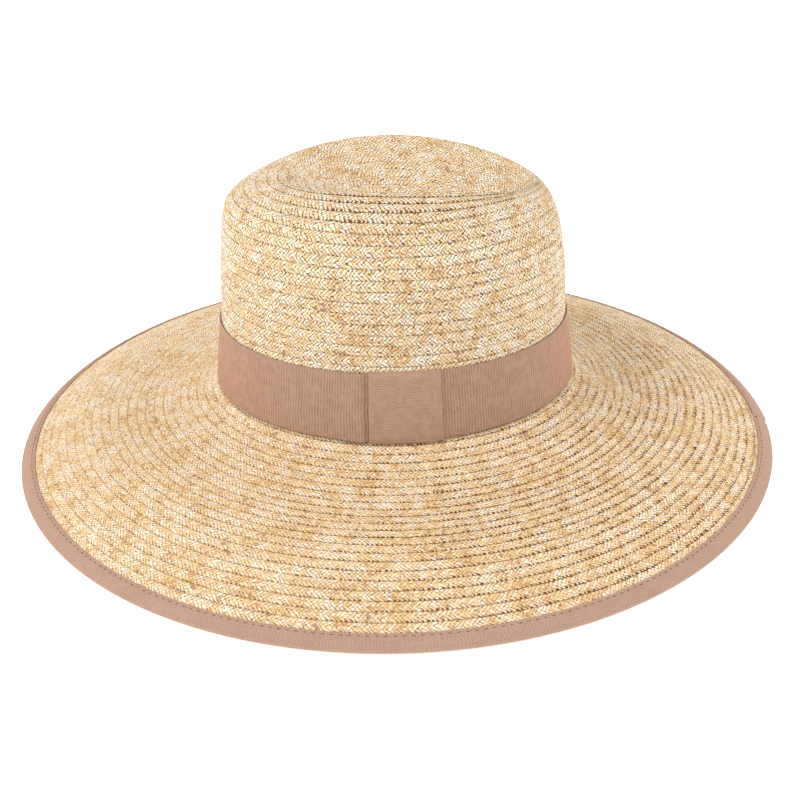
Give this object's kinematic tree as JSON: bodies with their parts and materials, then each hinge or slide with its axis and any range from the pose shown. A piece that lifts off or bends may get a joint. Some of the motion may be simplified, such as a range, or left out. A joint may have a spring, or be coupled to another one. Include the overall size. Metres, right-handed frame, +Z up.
{
  "type": "wide-brim straw hat",
  "caption": "Wide-brim hat of sewn straw braid with a teardrop-dented crown, ribbon band, flat wrapped knot and ribbon-bound brim edge.",
  "frame": {"origin": "centre of the brim's outline in plan, at the level the brim's edge rests on", "axes": "+Z up through the crown, +X to the front of the hat, +Y to the wearer's left"},
  "size_m": [0.4256, 0.397, 0.1515],
  "materials": {
    "crown_straw": "plaited wheat straw, satin",
    "brim_straw": "plaited wheat straw, satin",
    "band_ribbon": "ribbed grosgrain ribbon, matte",
    "edge_ribbon": "ribbed grosgrain ribbon, folded and stitched, matte"
  },
  "bodies": {
    "root": {"crown": "crown_straw", "brim": "brim_straw", "hat_band": "band_ribbon", "band_knot": "band_ribbon", "brim_binding": "edge_ribbon"}
  },
  "joints": []
}
